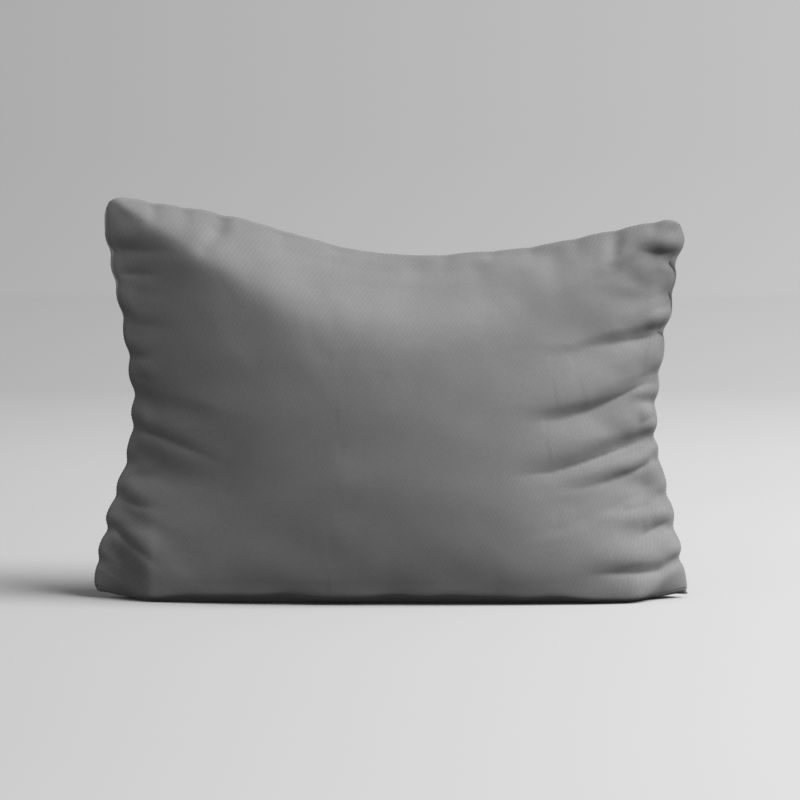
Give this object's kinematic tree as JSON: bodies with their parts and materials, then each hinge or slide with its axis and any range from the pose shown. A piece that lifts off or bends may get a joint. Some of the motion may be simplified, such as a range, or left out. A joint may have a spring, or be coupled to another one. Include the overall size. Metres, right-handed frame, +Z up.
{
  "type": "bed pillow",
  "caption": "Rectangular bed pillow standing on its long edge: twill zip cover over a sewn ticking pad filled with fibre, waisted sides and raised corners.",
  "frame": {"origin": "on the floor under the middle of the pillow", "axes": "+X along the long edge, +Z up along the short edge, front face towards -Y"},
  "size_m": [0.6635, 0.1902, 0.4468],
  "materials": {
    "cover_twill": "matte mid-grey twill weave",
    "cover_thread": "matte sewing thread",
    "zip_tape": "matte woven tape",
    "zip_coil": "satin nylon",
    "zip_metal": "satin die-cast metal",
    "pad_ticking": "matte plain-weave ticking",
    "pad_fibre": "loose staple fibre"
  },
  "bodies": {
    "pillow": {"cover_front_panel": "cover_twill", "cover_back_panel": "cover_twill", "cover_overlock_left": "cover_thread", "cover_overlock_top": "cover_thread", "cover_overlock_right": "cover_thread", "zip_tape_front": "zip_tape", "zip_tape_back": "zip_tape", "zip_coil_front": "zip_coil", "zip_coil_back": "zip_coil", "zip_stitch_front": "cover_thread", "zip_stitch_back": "cover_thread", "zip_top_stop_front": "zip_metal", "zip_top_stop_back": "zip_metal", "zip_bottom_stop": "zip_metal", "pad_ticking_front": "pad_ticking", "pad_ticking_back": "pad_ticking", "pad_fibre_fill": "pad_fibre"},
    "slider": {"zip_slider": "zip_metal"},
    "pull_tab": {"zip_pull_tab": "zip_metal"}
  },
  "joints": [
    {"name": "zip_slide", "type": "slide", "parent": "pillow", "child": "slider", "axis": [-1, 0, 0], "range_m": [0, 0.47]},
    {"name": "pull_tab_swing", "type": "hinge", "parent": "slider", "child": "pull_tab", "pos_m": [0.235, 0, 0.006], "axis": [0, 1, 0], "range_deg": [-14, 166]}
  ]
}
